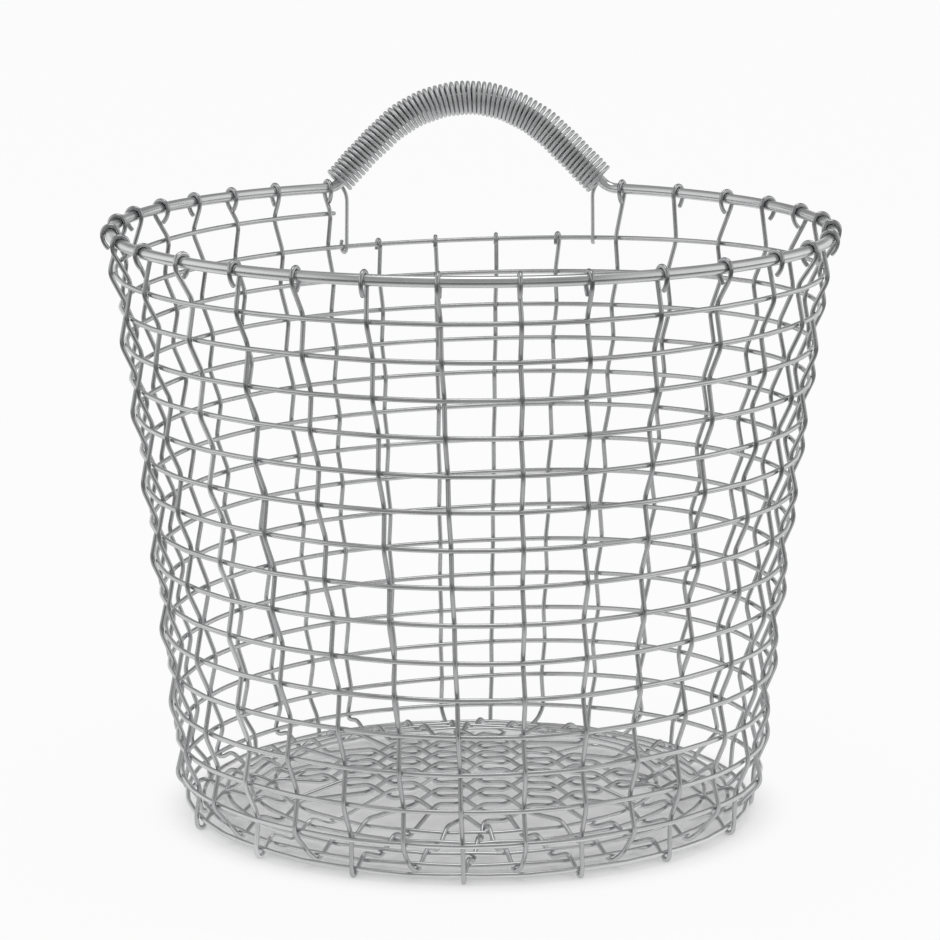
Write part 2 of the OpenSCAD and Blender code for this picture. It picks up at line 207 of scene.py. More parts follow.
# Length between points of the woven spiral, how its cut end turns out and up, and the points of the
# bend at its inner end
SPIRAL_STEP = 2.6
CUT_END_OUT = 0.4
CUT_END_UP = 0.5
BEND_STEPS = 8


def unit(v):
    return v / np.linalg.norm(v)


def polar(az, r, z):
    a = math.radians(az)
    return np.array([-r * math.sin(a), r * math.cos(a), z])


def outwards(az):
    return polar(az, 1.0, 0.0)


def sideways(az):
    a = math.radians(az)
    return np.array([-math.cos(a), -math.sin(a), 0.0])


def azimuth_of(p):
    return math.degrees(math.atan2(-p[0], p[1])) % 360


def sin(a):
    return math.sin(math.radians(a))


def cos(a):
    return math.cos(math.radians(a))


def clamp(share):
    return max(0.0, min(1.0, share))


def signed(angle):
    return (angle + 180) % 360 - 180


def swell(away, width):
    """A smooth hump: 1 in its middle and nearly 0 two widths away."""
    return math.exp(-((away / width) ** 2))


# The surface that the weave lies in


def wall_r(z):
    t = z / RIM_Z
    return WALL_FOOT_R + (RIM_R - WALL_FOOT_R) * t - 4 * WALL_WAIST * t * (1 - t)


def base_z(r):
    return CORNER_Z + DOME_H * (1 - min(r / CORNER_R, 1) ** DOME_POWER)


# The spiral of the weaving wire, in half turns: the last of the wall, and the base's corner

HEEL = 2 * WALL_TURNS - 4
CORNER = 2 * WALL_TURNS - 1
SPIRAL_Z = RIM_Z - SPIRAL_DROP
HALF_PITCH = (SPIRAL_Z - HEEL_Z) / HEEL


def even_z(h):
    if h <= HEEL:
        return SPIRAL_Z - h * HALF_PITCH + SPIRAL_BULGE * sin(180 * h / HEEL)
    if h <= CORNER:
        return HEEL_Z - (HEEL_Z - CORNER_Z) * (h - HEEL) / (CORNER - HEEL)
    return base_z(place_r(h))


def place_z(h):
    return even_z(h) + (FRONT_RISE if h < CORNER and h % 2 else 0)


def place_r(h):
    if h < CORNER:
        return wall_r(place_z(h))
    if h == CORNER:
        return CORNER_R
    return CORNER_R - (h - CORNER - 0.5) * BASE_PITCH / 2


def arc_tilt(h):
    """Height of a half turn's middle over the line between its ends."""
    share = clamp((WALL_TURNS - (h + 1) // 2) / TILT_FADE_TURNS)
    return ROW_TILT * share * (1 if h % 2 else -1)


def smooth_spiral(turn, az):
    """Radius and height of the weaving wire before the small bends of the real one.

    Each half turn is a round arc whose centre lies off the axis, so that it meets the next one.
    """
    phi = (az - SPIRAL_AZ) % 360
    h = 2 * turn - 2 + (1 if phi >= 180 else 0)
    p = phi - 180 if phi >= 180 else phi
    m = (place_r(h) + place_r(h + 1)) / 2
    c = (place_r(h) - place_r(h + 1)) / 2
    arc = p + math.degrees(math.asin(sin(p) * c / m))
    r = c * cos(p) + math.sqrt(m * m - (c * sin(p)) ** 2)
    fall = (place_z(h) - place_z(h + 1)) / 2
    return np.array([r, place_z(h) - fall * (1 - cos(arc)) + arc_tilt(h) * sin(arc)])


def sway(swings, t):
    """Sum of waves at t, as a share of the most that it could be."""
    most = sum(share for _, share, _ in swings)
    return sum(share * sin(count * t + start) for count, share, start in swings) / most


def wander(turn, az):
    """The slow wandering of a hand-woven wire and the rises of its rows, as radius and height."""
    t = 360 * (turn - 1) + (az - SPIRAL_AZ) % 360
    # both fade out from the wall to the base
    on_base = clamp(t / 360 - (WALL_TURNS - 2))
    rise = 0.0
    for at, width, height, grows_from, grows_to in ROW_RISES:
        grown = clamp((t / 360 - grows_from) / (grows_to - grows_from))
        rise += height * grown * (1 - on_base) * swell(signed(az - at), width)
    still = 1 - BASE_STILL * on_base
    r = WANDER_R * sway(WANDER_R_WAVES, t) * still
    z = WANDER_Z * sway(WANDER_Z_WAVES, t) * still + rise
    return np.array([r, z])


def slot_az(k):
    return FIRST_END_AZ + (k - 1) * 360 / ENDS


def waves(of, az):
    return sum(height * cos(count * az - crest) for count, height, crest in of)


def end_az(k, z):
    slot = slot_az(k)
    at_rim = waves(RIM_WAVES, slot) + RIM_STRAYS.get(k, 0.0)
    at_foot = FOOT_TWIST + waves(FOOT_WAVES, slot) + FOOT_STRAYS.get(k, 0.0)
    return slot + at_rim * z / RIM_Z + at_foot * (1 - z / RIM_Z)


def passes_out(k, turn):
    return (k + ENDS * (turn - 1)) % 2 == 0


# The crossed wires of the base


def grid_xy(i, j):
    u = (i - (ACROSS - 1) / 2) * GRID_PITCH
    v = (j - (DOWN - 1) / 2) * GRID_PITCH
    return np.array([(u + v) / math.sqrt(2), (v - u) / math.sqrt(2)])


def front_left(i):
    return FRONT_LEFT_END + i


def back_right(i):
    # the middle line is the weaving wire's, which doesn't come up again here
    return BACK_RIGHT_END - i + (1 if i > MIDDLE else 0)


def back_left(j):
    return (BACK_LEFT_END - j - 1) % ENDS + 1


def front_right(j):
    return FRONT_RIGHT_END + j


def first_turn(k):
    return 1 if k <= RIM_ENDS else 2


def last_turn(k):
    return TURNS if k <= LAST_INNER_END else TURNS - 1


GRID_OF_END = {}
for i in range(ACROSS):
    GRID_OF_END[front_left(i)] = grid_xy(i, 0)
    if i != MIDDLE:
        GRID_OF_END[back_right(i)] = grid_xy(i, DOWN - 1)
for j in range(DOWN):
    GRID_OF_END[back_left(j)] = grid_xy(0, j)
    GRID_OF_END[front_right(j)] = grid_xy(ACROSS - 1, j)


def crossing_az(k, turn):
    if turn <= WALL_TURNS:
        return end_az(k, smooth_spiral(turn, slot_az(k))[1])
    foot = end_az(k, CORNER_Z)
    q = GRID_OF_END[k]
    start = azimuth_of(q)
    reach = np.linalg.norm(q)
    share = (smooth_spiral(turn, foot)[0] - reach) / (CORNER_R - reach)
    return start + signed(foot - start) * share


# Azimuth, and side that the upright takes, at each crossing of each turn
CROSSINGS = {
    turn: [
        (crossing_az(k, turn), 1 if passes_out(k, turn) else -1)
        for k in range(1, ENDS + 1)
        if first_turn(k) <= turn <= last_turn(k)
    ]
    for turn in range(1, TURNS + 1)
}


def surface_out(turn, az):
    """Direction out of the wall, or down from the base, as radius and height."""
    ahead = smooth_spiral(min(turn + 1, TURNS), az)
    behind = smooth_spiral(max(turn - 1, 1), az)
    run = unit(ahead - behind)
    return np.array([-run[1], run[0]])


def spiral_at(turn, az):
    """Radius and height of the weaving wire, nudged aside by each upright that it passes."""
    w = smooth_spiral(turn, az) + wander(turn, az)
    push = 0.0
    for cross_az, side in CROSSINGS[turn]:
        gap = math.radians(signed(az - cross_az)) * w[0]
        if abs(gap) < 3 * NUDGE_RUN:
            push -= side * NUDGE * swell(gap, NUDGE_RUN)
    return w + push * surface_out(turn, az)


# The spiral's inner end, where the wire that crosses the base turns into it
INNER_R = smooth_spiral(TURNS, MIDDLE_AZ)[0]
BEND_CENTRE_R = INNER_R - SPIRAL_BEND_R
BEND_AZ = MIDDLE_AZ - math.degrees(math.asin(SPIRAL_BEND_R / BEND_CENTRE_R))
INNER_AZ = BEND_AZ - math.degrees(WEFT_D / INNER_R)

CROSS_ROOM = WEFT_D / 2 + WARP_D / 2 + TOUCH


def kink_offset(room, spacing):
    """How far out a kink's corner lies, so that its rounded top just clears the other wire."""
    cut = min(KINK, KINK_SHARE * spacing)
    off = room
    # the angle depends on the offset: four rounds settle it
    for _ in range(4):
        turn_angle = math.atan(2 * off / spacing)
        off = room / math.cos(turn_angle) + 0.5 * cut * math.sin(turn_angle)
    return off


def is_foot(k, turn):
    return passes_out(k, turn) and turn == (WALL_TURNS + 1 if k <= LATE_ENDS else WALL_TURNS)


def is_loop(k, turn):
    return passes_out(k, turn) and (turn == WALL_TURNS or is_foot(k, turn))


def crossing(k, turn, d):
    """Corners of an upright at one crossing, each as radius, height and azimuth."""
    az = crossing_az(k, turn)
    w = spiral_at(turn, az)
    q = GRID_OF_END[k]
    reach = np.linalg.norm(q)
    room = CROSS_ROOM + (d - WARP_D) / 2

    def low_of(t, centre):
        return d / 2 if is_foot(k, t) else centre[1] - room - LOOP_CLEAR

    before = np.array([RIM_R, RIM_Z])
    if turn > 1:
        before = spiral_at(turn - 1, crossing_az(k, turn - 1))
        if is_loop(k, turn - 1):
            before = np.array([before[0] - LOOP_LEAVES * room, low_of(turn - 1, before)])
    after = np.array([reach, base_z(reach)])
    if turn < last_turn(k):
        after = spiral_at(turn + 1, crossing_az(k, turn + 1))
    if is_loop(k, turn):
        low = low_of(turn, w)
        return [
            [w[0] + room + LOOP_TOP_OUT, w[1] + LOOP_TOP_UP, az],
            [w[0] + LOOP_BEND_OUT * room, w[1] + (low - w[1]) * LOOP_BEND_FALL, az],
            [w[0] + LOOP_OUTER * room, low, az],
            [w[0] - LOOP_INNER * room, low, az],
        ]
    spacing = min(np.linalg.norm(after - w), np.linalg.norm(w - before))
    run = unit(after - before)
    off = kink_offset(room, spacing) * (1 if passes_out(k, turn) else -1)
    return [[w[0] - off * run[1], w[1] + off * run[0], az]]


def hook(az, over, reach, side, drop, step, tail):
    """Points of a hook over a rod or wire, whose place is a radius and height, from its cut end."""
    r, z = over
    aside = math.degrees(step / r)
    points = [[r - side * reach * out, z - drop * down, az + aside] for out, down in tail]
    for n in range(HOOK_STEPS + 1):
        t = 180 * n / HOOK_STEPS
        points.append([r - side * reach * cos(t), z + reach * sin(t), az + aside * (1 - t / 180)])
    points += [[r + side * reach * out, z - reach * down, az] for out, down in HOOK_NECK]
    return points


def upright(k, d):
    """An upright end from its cut end to its last crossing before the grid, in space."""
    side = 1 if passes_out(k, 1) else -1
    if k <= RIM_ENDS:
        az = end_az(k, RIM_Z)
        reach = ROD_D / 2 + d / 2 + TOUCH
        step = RIM_HOOK_STEP * (-1 if k % 3 else 1)
        points = hook(az, (RIM_R, RIM_Z), reach, -side, RIM_HOOK_DROP, step, RIM_HOOK_TAIL)
    else:
        az = end_az(k, smooth_spiral(1, slot_az(k))[1])
        top = smooth_spiral(1, az) + wander(1, az)
        reach = WEFT_D / 2 + d / 2 + TOUCH
        points = hook(az, top, reach, side, SHORT_HOOK_DROP, SHORT_HOOK_STEP, SHORT_HOOK_TAIL)
    for turn in range(first_turn(k), last_turn(k) + 1):
        points += crossing(k, turn, d)
    return [polar(az, r, z) for r, z, az in points]


def grid_points(line, first_family):
    """Corners of one wire where it crosses the wires of the other family."""
    count = DOWN if first_family else ACROSS
    room = WARP_D + GRID_GAP
    off = kink_offset(room / 2, GRID_PITCH / 2) * GRID_PRESS
    points = []
    for n in range(count):
        i, j = (line, n) if first_family else (n, line)
        above = ((i + j) % 2 == 0) == first_family
        x, y = grid_xy(i, j)
        points.append(np.array([x, y, base_z(math.hypot(x, y)) + (off if above else -off)]))
    return points


def level_sides(points, count):
    """A level direction square to the wire at each point, for tubes that don't twist."""
    sides = []
    for n, p in enumerate(points):
        ahead = points[min(n + 1, len(points) - 1)] - points[max(n - 1, 0)]
        if math.hypot(p[0], p[1]) > CORNER_R - BASE_PITCH:
            heading = outwards(azimuth_of(p)) * (-1 if n < count else 1)
        else:
            heading = unit(np.array([ahead[0], ahead[1], 0.0]))
        sides.append(np.cross([0, 0, 1], heading))
    return sides


def curve(start, control, end, steps):
    """Points of a curve from start to end that leaves and arrives along the lines to control."""
    shares = [n / steps for n in range(steps + 1)]
    return [(1 - t) ** 2 * start + 2 * t * (1 - t) * control + t * t * end for t in shares]


def round_corners(points, sides):
    """The corners of a path turned into short curves."""
    out = [points[0]]
    out_sides = [sides[0]]
    for n in range(1, len(points) - 1):
        back = points[n - 1] - points[n]
        on = points[n + 1] - points[n]
        cut = min(KINK, ROUND_SHARE * np.linalg.norm(back), ROUND_SHARE * np.linalg.norm(on))
        start = points[n] + cut * unit(back)
        end = points[n] + cut * unit(on)
        bend = math.degrees(math.acos(max(-1.0, min(1.0, float(-unit(back) @ unit(on))))))
        steps = min(KINK_STEPS, int(bend / STEP_DEGREES) + 2)
        out += curve(start, points[n], end, steps)
        out_sides += [sides[n]] * (steps + 1)
    out.append(points[-1])
    out_sides.append(sides[-1])
    return out, out_sides


# Meshes

# Points that lie closer than this become one, and the bevel of a cut end, as shares of the
# wire's diameter along it and across it
LEAST_STEP = 0.02
BEVEL = 0.14
BEVEL_TOP = 0.78

# Sides of a thin wire's section and of the rod's
WIRE_SIDES = 12
ROD_SIDES = 24

# The unwrapped map: rows one above the other, with room at both ends and round each row
ROW_START = 0.005
ROW_SCALE = 0.93
ROW_OVER = 1.06
ROW_MARGIN = 0.06
CAP_U = 0.996
CAP_V = (0.25, 0.75)
CAP_R = 0.003


def put(name, data):
    piece = bpy.data.objects.new(name, data)
    bpy.context.scene.collection.objects.link(piece)
    return piece


def map_wire(mesh, along, angles, d):
    """Map in rows along the wire, each as long as the square is wide, with its caps at the side."""
    around = len(angles)
    rows = max(1, round(math.sqrt(along[-1] / (math.pi * d))))
    row_length = along[-1] / rows
    row = np.minimum((along[:-1] / row_length).astype(int), rows - 1)
    start = (along[:-1] - row * row_length) / row_length
    stop = np.minimum((along[1:] - row * row_length) / row_length, ROW_OVER)
    u = np.zeros((len(along) - 1, around, 4))
    u[..., :2] = (ROW_START + ROW_SCALE * start)[:, None, None]
    u[..., 2:] = (ROW_START + ROW_SCALE * stop)[:, None, None]
    column = np.arange(around)[None]
    inside = 1 - 2 * ROW_MARGIN
    low = (row[:, None] + ROW_MARGIN + inside * column / around) / rows
    high = (row[:, None] + ROW_MARGIN + inside * (column + 1) / around) / rows
    v = np.stack([low, high, high, low], 2)
    walls = np.stack([u.reshape(-1), v.reshape(-1)], 1)
    caps = np.zeros((2 * around, 2))
    caps[:, 0] = CAP_U + CAP_R * np.cos(np.tile(angles, 2))
    caps[:, 1] = np.repeat(CAP_V, around) + CAP_R * np.sin(np.tile(angles, 2))
    layer = mesh.uv_layers.new(name="OFBake")
    layer.data.foreach_set("uv", np.vstack([walls, caps]).reshape(-1))


def tube(name, points, sides, d, around):
    """A wire as a mesh: rings along its path, with slightly rounded cut ends."""
    points = np.array(points)
    sides = np.array(sides)
    keep = np.ones(len(points), bool)
    keep[1:] = np.linalg.norm(points[1:] - points[:-1], axis=1) > LEAST_STEP
    points = points[keep]
    sides = sides[keep]
    runs = points[1:] - points[:-1]
    lengths = np.linalg.norm(runs, axis=1)
    ways = runs / lengths[:, None]
    tangents = np.vstack([ways[:1], ways[:-1] + ways[1:], ways[-1:]])
    tangents /= np.linalg.norm(tangents, axis=1)[:, None]
    along = np.concatenate([[0.0], np.cumsum(lengths)])
    radii = np.full(len(points), d / 2)
    # a small bevel at each cut end
    bevel = BEVEL * d
    after_first = points[:1] + ways[:1] * bevel
    before_last = points[-1:] - ways[-1:] * bevel
    points = np.vstack([points[:1], after_first, points[1:-1], before_last, points[-1:]])
    sides = np.vstack([sides[:1], sides[:1], sides[1:-1], sides[-1:], sides[-1:]])
    tangents = np.vstack([tangents[:1], tangents[:1], tangents[1:-1], tangents[-1:], tangents[-1:]])
    along = np.concatenate([along[:1], along[:1] + bevel, along[1:-1], along[-1:] - bevel, along[-1:]])
    top = [BEVEL_TOP * d / 2]
    radii = np.concatenate([top, radii, top])

    side = sides - (sides * tangents).sum(1)[:, None] * tangents
    side /= np.linalg.norm(side, axis=1)[:, None]
    normal = np.cross(side, tangents)
    angles = 2 * math.pi * np.arange(around) / around
    round_x = np.cos(angles)[None, :, None]
    round_y = np.sin(angles)[None, :, None]
    spokes = round_y * side[:, None] + round_x * normal[:, None]
    vertices = points[:, None] + radii[:, None, None] * spokes
    rings = len(points)

    row = np.arange(rings - 1)[:, None] * around
    column = np.arange(around)[None]
    first = row + column
    second = row + (column + 1) % around
    quads = np.stack([first, second, second + around, first + around], 2).reshape(-1, 4)
    faces = quads.tolist()
    faces.append(list(range(around))[::-1])
    faces.append([(rings - 1) * around + n for n in range(around)])

    mesh = bpy.data.meshes.new(name)
    mesh.from_pydata((vertices.reshape(-1, 3) * MM).tolist(), [], faces)
    mesh.polygons.foreach_set("use_smooth", [True] * (len(faces) - 2) + [False] * 2)

    # place on the wire: length along it, and place in its round section, in metres
    wire = np.zeros((rings, around, 3))
    wire[..., 0] = along[:, None] * MM
    wire[..., 1] = d / 2 * np.cos(angles)[None] * MM
    wire[..., 2] = d / 2 * np.sin(angles)[None] * MM
    attribute = mesh.attributes.new("wire", "FLOAT_VECTOR", "POINT")
    attribute.data.foreach_set("vector", wire.reshape(-1))
    map_wire(mesh, along, angles, d)

    mesh.validate()
    piece = put(name, mesh)
    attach(piece, "root")
    return piece


def dress(piece, slot, material, *nodes):
    piece.data.materials.append(material)
    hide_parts(*nodes)


# Materials


def node(tree, kind, **values):
    made = tree.nodes.new(kind)
    for name, value in values.items():
        setattr(made, name, value)
    return made


def socket(item, name, value):
    item.inputs[name].default_value = value


def map_range(tree, value, low, high, to_low, to_high, kind="LINEAR"):
    made = node(tree, "ShaderNodeMapRange", interpolation_type=kind)
    socket(made, "From Min", low)
    socket(made, "From Max", high)
    socket(made, "To Min", to_low)
    socket(made, "To Max", to_high)
    tree.links.new(value, made.inputs["Value"])
    return made.outputs["Result"]


def smooth_range(tree, value, span):
    """A smooth change, whose span is two values and what becomes of them."""
    return map_range(tree, value, *span, "SMOOTHSTEP")


def math_node(tree, operation, *values):
    made = node(tree, "ShaderNodeMath", operation=operation)
    for n, value in enumerate(values):
        if isinstance(value, (int, float)):
            made.inputs[n].default_value = value
        else:
            tree.links.new(value, made.inputs[n])
    return made.outputs[0]


def noise(tree, vector, scale, detail, stretch=None):
    if stretch:
        mapping = node(tree, "ShaderNodeMapping")
        socket(mapping, "Scale", stretch)
        tree.links.new(vector, mapping.inputs["Vector"])
        vector = mapping.outputs["Vector"]
    made = node(tree, "ShaderNodeTexNoise")
    socket(made, "Scale", scale)
    socket(made, "Detail", detail)
    tree.links.new(vector, made.inputs["Vector"])
    return made.outputs["Fac"]


def split(tree, vector):
    parts = node(tree, "ShaderNodeSeparateXYZ")
    tree.links.new(vector, parts.inputs[0])
    return parts.outputs


def mix_colours(tree, share, first, second):
    """The first colour, which is a socket, mixed with the second, which is fixed."""
    made = node(tree, "ShaderNodeMix", data_type="RGBA")
    tree.links.new(share, made.inputs[0])
    tree.links.new(first, made.inputs[6])
    made.inputs[7].default_value = second
    return made.outputs[2]


# Detail of the steel: sizes as counts a metre, shares of the tone, of the wear and of the relief,
# and how much smoother or rougher than its mean the steel is where it is least or most worn
LINES_LONG = 9.0
WIDE_LINES_LONG = 5.0
WIDE_LINES_WIDER = 0.3
CLOUDS = 48.0
GRAIN = 2600.0
PITS = 1100.0
LINES_TONE = 0.5
WIDE_LINES_TONE = 0.3
CLOUDS_TONE = 0.3
DARK_AT = 0.36
LIGHT_AT = 0.7
PITS_SPAN = (0.63, 0.74, 0.0, 0.35)
PITS_DARKER = 0.6
LINES_WORN = 0.4
CLOUDS_WORN = 0.6
WORN_SPAN = (0.35, 0.65)
SMOOTHER = 0.07
ROUGHER = 0.1
GRAIN_RELIEF = 0.3
RELIEF_M = 0.00006

# Painted shade on the rod inside the winding, where the winding keeps the light off it: its grey, the
# height over which it sets in, and its share
ROD_PAINTED_SHADE_TONE = (0.36, 0.36, 0.365, 1)
PAINTED_SHADE_RUN_M = 0.004
PAINTED_SHADE_SHARE = 0.75


def steel(name, light, dark, rough, streak, bump=0.6, edge=0.85, painted_shade_from=None):
    """Drawn steel wire: fine lines along its length, cloudy dull patches, grain and small pits."""
    material = bpy.data.materials.new(name)
    material.use_nodes = True
    tree = material.node_tree
    shader = tree.nodes["Principled BSDF"]
    socket(shader, "Metallic", 1.0)
    socket(shader, "Specular Tint", (edge, edge, edge, 1))

    along = node(tree, "ShaderNodeAttribute", attribute_name="wire").outputs["Vector"]
    space = node(tree, "ShaderNodeTexCoord").outputs["Object"]
    wide = streak * WIDE_LINES_WIDER
    lines = noise(tree, along, 1.0, 5.0, (LINES_LONG, streak, streak))
    wide_lines = noise(tree, along, 1.0, 2.0, (WIDE_LINES_LONG, wide, wide))
    clouds = noise(tree, space, CLOUDS, 4.0)
    grain = noise(tree, space, GRAIN, 2.0)
    pits = noise(tree, space, PITS, 3.0)

    drawn = math_node(tree, "MULTIPLY", wide_lines, WIDE_LINES_TONE)
    drawn = math_node(tree, "MULTIPLY_ADD", lines, LINES_TONE, drawn)
    tone = math_node(tree, "MULTIPLY_ADD", clouds, CLOUDS_TONE, drawn)
    ramp = node(tree, "ShaderNodeValToRGB")
    low, high = ramp.color_ramp.elements
    low.position = DARK_AT
    low.color = (*dark, 1)
    high.position = LIGHT_AT
    high.color = (*light, 1)
    tree.links.new(tone, ramp.inputs["Fac"])
    specks = map_range(tree, pits, *PITS_SPAN)
    pitted = tuple(part * PITS_DARKER for part in dark)
    colour = mix_colours(tree, specks, ramp.outputs["Color"], (*pitted, 1))
    # painted shade: above the given height the rod's colour is darkened towards a grey, where the
    # winding keeps the light off it
    if painted_shade_from:
        painted_shade_span = (painted_shade_from, painted_shade_from + PAINTED_SHADE_RUN_M, 0.0, PAINTED_SHADE_SHARE)
        painted_shade_mask = smooth_range(tree, split(tree, space)["Z"], painted_shade_span)
        colour = mix_colours(tree, painted_shade_mask, colour, ROD_PAINTED_SHADE_TONE)
    tree.links.new(colour, shader.inputs["Base Color"])

    worn = math_node(tree, "MULTIPLY", clouds, CLOUDS_WORN)
    worn = math_node(tree, "MULTIPLY_ADD", lines, LINES_WORN, worn)
    roughness = map_range(tree, worn, *WORN_SPAN, rough - SMOOTHER, rough + ROUGHER)
    tree.links.new(roughness, shader.inputs["Roughness"])

    height = math_node(tree, "MULTIPLY_ADD", grain, GRAIN_RELIEF, drawn)
    relief = node(tree, "ShaderNodeBump")
    socket(relief, "Strength", bump)
    socket(relief, "Distance", RELIEF_M)
    tree.links.new(height, relief.inputs["Height"])
    tree.links.new(relief.outputs["Normal"], shader.inputs["Normal"])
    return material


weave_steel = steel(
    "weave_steel",
    light=(0.76, 0.763, 0.768),
    dark=(0.48, 0.484, 0.49),
    rough=0.2,
    streak=2300.0,
)
upright_steel = steel(
    "upright_steel",
    light=(0.6, 0.603, 0.608),
    dark=(0.36, 0.364, 0.37),
    rough=0.23,
    streak=2300.0,
    edge=0.6,
)
rod_steel = steel(
    "rod_steel",
    light=(0.8, 0.803, 0.808),
    dark=(0.58, 0.584, 0.59),
    rough=0.2,
    streak=1300.0,
    # painted shade on the rod above this height, inside the winding
    painted_shade_from=0.306,
)
winding_steel = steel(
    "winding_steel",
    light=(0.72, 0.724, 0.73),
    dark=(0.52, 0.524, 0.53),
    rough=0.4,
    streak=3000.0,
    bump=0.5,
)

# The uprights


def whole_wire(name, k_start, k_end, line, first_family):
    start = upright(k_start, WARP_D)
    finish = upright(k_end, WARP_D)
    points = start + grid_points(line, first_family) + finish[::-1]
    sides = level_sides(points, len(start))
    path, path_sides = round_corners(points, sides)
    wire = tube(name + "_wire", path, path_sides, WARP_D, WIRE_SIDES)
    dress(wire, "upright_wire", upright_steel, name)


for i in range(ACROSS):
    if i != MIDDLE:
        whole_wire("across_%d" % (i + 1), front_left(i), back_right(i), i, True)
for j in range(DOWN):
    whole_wire("down_%d" % (j + 1), back_left(j), front_right(j), j, False)

# The weaving wire: one upright, one crossing of the base, and the whole spiral


def weaving_wire():
    start = upright(front_left(MIDDLE), WEFT_D)
    points = start + grid_points(MIDDLE, True)
    centre = polar(BEND_AZ, BEND_CENTRE_R, 0)
    for n in range(BEND_STEPS + 1):
        a = MIDDLE_AZ + 90 - (MIDDLE_AZ + 90 - BEND_AZ) * n / BEND_STEPS
        p = centre + SPIRAL_BEND_R * outwards(a)
        points.append(np.array([p[0], p[1], base_z(math.hypot(p[0], p[1]))]))
    sides = level_sides(points, len(start))
    path, path_sides = round_corners(points, sides)
    t = 360 * (TURNS - 1) + (INNER_AZ - SPIRAL_AZ)
    while t > 0:
        turn = int(t // 360) + 1
        az = SPIRAL_AZ + t % 360
        r, z = spiral_at(turn, az)
        path.append(polar(az, r, z))
        path_sides.append(outwards(az))
        t -= math.degrees(SPIRAL_STEP / r)
    r, z = spiral_at(1, SPIRAL_AZ + 0.01)
    path.append(polar(SPIRAL_AZ, r + CUT_END_OUT, z + CUT_END_UP))
    path_sides.append(outwards(SPIRAL_AZ))
    nodes = ["weft_start"] + ["weft_turn_%02d" % turn for turn in range(1, TURNS + 1)]
    wire = tube("weaving_wire", path, path_sides, WEFT_D, WIRE_SIDES)
    dress(wire, "weave_wire", weave_steel, *nodes)


weaving_wire()

# The rim rod and its arch

RIM_END_TURN = math.asin(ARCH_HALF_W / math.hypot(RIM_R, ARCH_BEND))
RIM_END_AZ = math.degrees(RIM_END_TURN + math.atan(ARCH_BEND / RIM_R))
ARCH_Y = (polar(RIM_END_AZ, RIM_R, RIM_Z) - ARCH_BEND * sideways(RIM_END_AZ))[1]
CROWN_RISE = (ARCH_HALF_W * sin(ARCH_SLOPE) - ARCH_CROWN_R) / cos(ARCH_SLOPE)
RING_STEPS = 300
FOOT_STEPS = 8
CROWN_STEPS = 60


def arch_point(x, rise):
    return np.array([x, ARCH_Y + rise * sin(ARCH_LEAN), RIM_Z + rise * cos(ARCH_LEAN)])


def arch_way(x, rise):
    return np.array([x, rise * sin(ARCH_LEAN), rise * cos(ARCH_LEAN)])


ARCH_BACK = np.array([0, cos(ARCH_LEAN), -sin(ARCH_LEAN)])
CROWN_CENTRE = arch_point(0, CROWN_RISE)


def arch_foot(s):
    """Points of the bend from the ring up into the arch, on the right for 1 and the left for -1."""
    ring_end = polar(-s * RIM_END_AZ, RIM_R, RIM_Z)
    corner = arch_point(s * ARCH_HALF_W, 0)
    flank = arch_way(-s * cos(ARCH_SLOPE), sin(ARCH_SLOPE))
    low = corner + ARCH_BEND * flank
    inner = unit(unit(ring_end - corner) + flank)
    centre = corner + ARCH_BEND / (inner @ flank) * inner
    a = ring_end - centre
    b = low - centre
    angle = math.acos(unit(a) @ unit(b))
    bent = []
    for n in range(1, FOOT_STEPS + 1):
        share_a = math.sin(angle * (1 - n / FOOT_STEPS)) / math.sin(angle)
        share_b = math.sin(angle * n / FOOT_STEPS) / math.sin(angle)
        bent.append(centre + share_a * a + share_b * b)
    return bent


def rim_rod():
    swept = 360 - 2 * RIM_END_AZ
    ring_azs = [RIM_END_AZ + swept * n / RING_STEPS for n in range(RING_STEPS + 1)]
    ring = [polar(az, RIM_R, RIM_Z) for az in ring_azs]
    slopes = np.linspace(ARCH_SLOPE, -ARCH_SLOPE, CROWN_STEPS + 1)
    crown = [CROWN_CENTRE + ARCH_CROWN_R * arch_way(sin(a), cos(a)) for a in slopes]
    # the ring runs from left to right round the front, and the arch back from right to left
    path = np.array(ring + arch_foot(1) + crown + arch_foot(-1)[::-1])
    closed = np.vstack([path[-1:], path, path[:1]])
    ways = closed[2:] - closed[:-2]
    ways /= np.linalg.norm(ways, axis=1)[:, None]
    sides = []
    for p, way in zip(path, ways):
        on_arch = p[2] > RIM_Z + TOUCH
        reference = ARCH_BACK if on_arch else outwards(azimuth_of(p))
        sides.append(unit(reference - (reference @ way) * way))
    # the rod's two ends meet inside the winding, so the path starts and ends there
    cut = len(ring) + FOOT_STEPS + CROWN_STEPS // 2
    path = np.vstack([path[cut:], path[: cut + 1]])
    sides = sides[cut:] + sides[: cut + 1]
    rod = tube("rim_rod", path, sides, ROD_D, ROD_SIDES)
    dress(rod, "rim_rod", rod_steel, "rim_wire")


rim_rod()

# The winding

# It stands off the rod on the left and sinks a little right of the crown: height, place along the
# arch and half width of each. It is drawn tighter towards the left end: how much, from where and
# over what run. Its turns swell and shrink a little: how much, and how slowly.
COIL_BULGE = (2.3, -66.0, 34.0)
COIL_SINK = (-1.1, 32.0, 22.0)
COIL_TAPER = 1.0
COIL_TAPER_FROM = -45.0
COIL_TAPER_RUN = 8.0
COIL_BREATH = 0.12
COIL_BREATH_TURNS = 6.3
COIL_RINGS = 20


def axis_angle(s):
    return max(-ARCH_SLOPE, min(ARCH_SLOPE, math.degrees(s / ARCH_CROWN_R)))


def axis_up(s):
    return arch_way(sin(axis_angle(s)), cos(axis_angle(s)))


def axis_run(s):
    return arch_way(cos(axis_angle(s)), -sin(axis_angle(s)))


